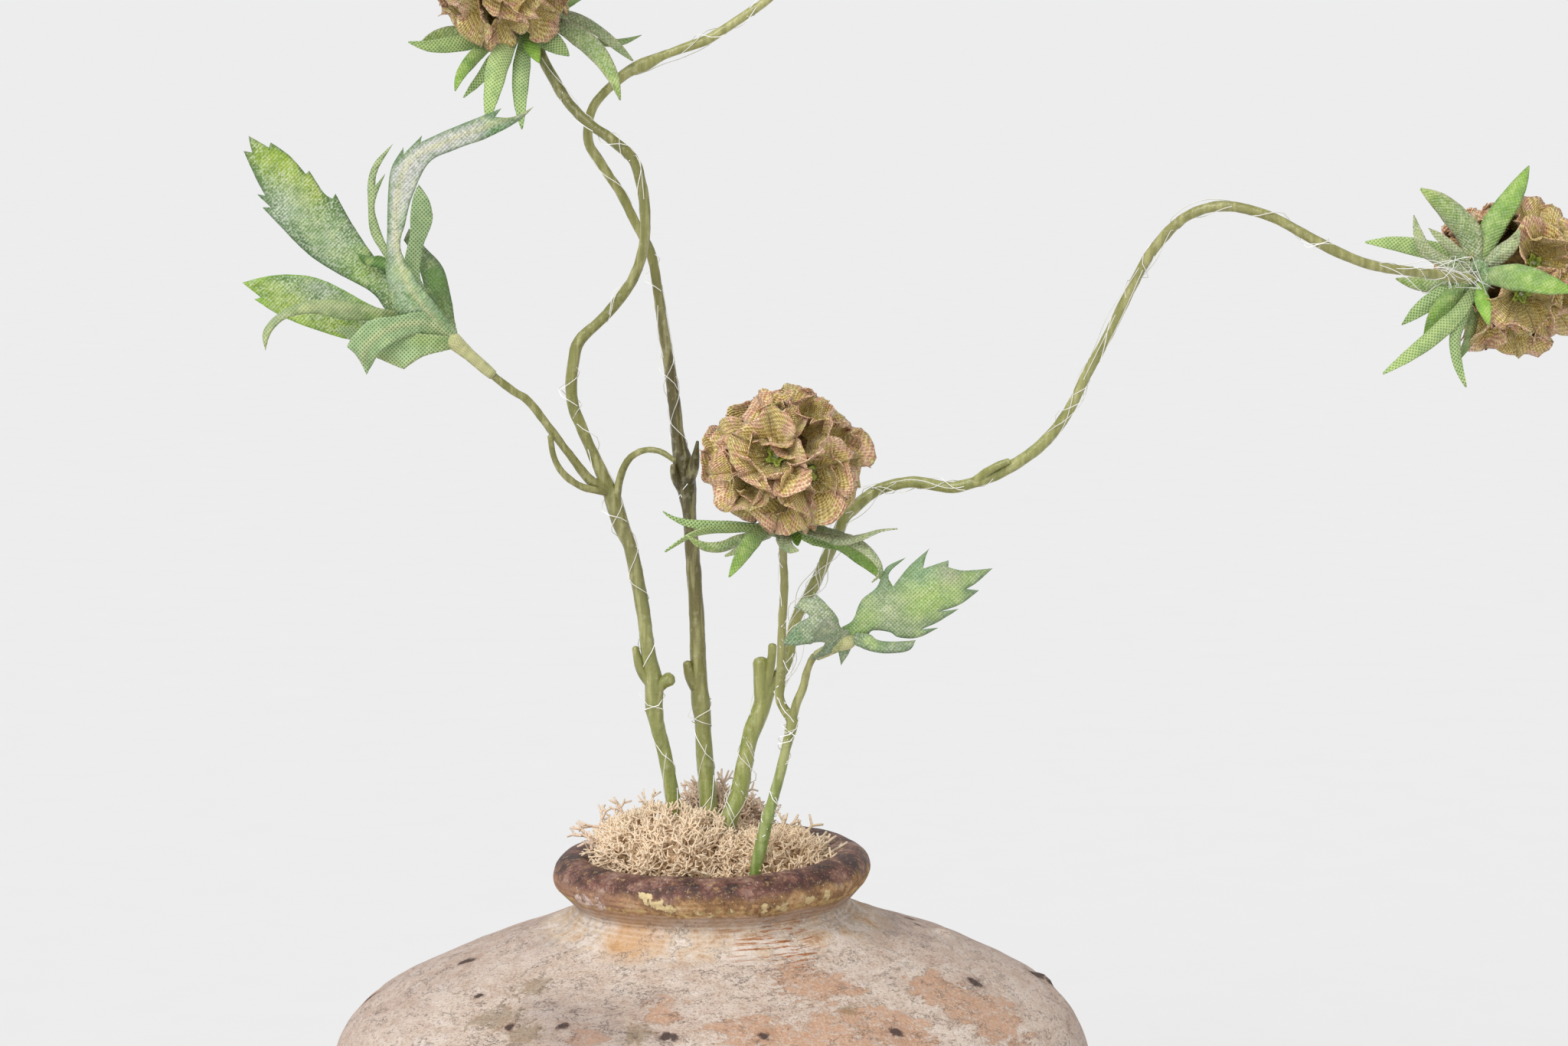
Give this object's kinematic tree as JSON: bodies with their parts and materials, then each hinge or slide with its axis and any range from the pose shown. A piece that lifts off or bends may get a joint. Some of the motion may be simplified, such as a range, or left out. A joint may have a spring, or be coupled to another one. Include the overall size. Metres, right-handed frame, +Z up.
{
  "type": "scabiosa arrangement in pot",
  "caption": "Winding stems with ruffled seed heads, green collars and toothed leaf sprays, held by foam and moss in the neck of a broad-shouldered aged clay jar.",
  "frame": {"origin": "centre of the jar's flat base, on the surface that it stands on", "axes": "+Z up; +X towards the long stem that reaches out to the right; -Y towards the front, which the short stem's seed head is nearest"},
  "size_m": [0.4074, 0.2344, 0.522],
  "materials": {
    "clay": "chalky wash over aged terracotta",
    "foam": "matte",
    "moss": "matte",
    "stem": "satin",
    "floret": "satin weave",
    "leaf": "frosted weave"
  },
  "bodies": {
    "root": {"jar": "clay", "foam_plug": "foam", "moss": "moss", "stem_left": "stem", "stem_tall": "stem", "stem_right": "stem", "stem_short": "stem", "head_left": "floret", "head_top": "floret", "head_right": "floret", "head_middle": "floret", "collar_left": "leaf", "collar_top": "leaf", "collar_right": "leaf", "collar_middle": "leaf", "leaf_spray": "leaf", "leaf_pair": "leaf"}
  },
  "joints": []
}
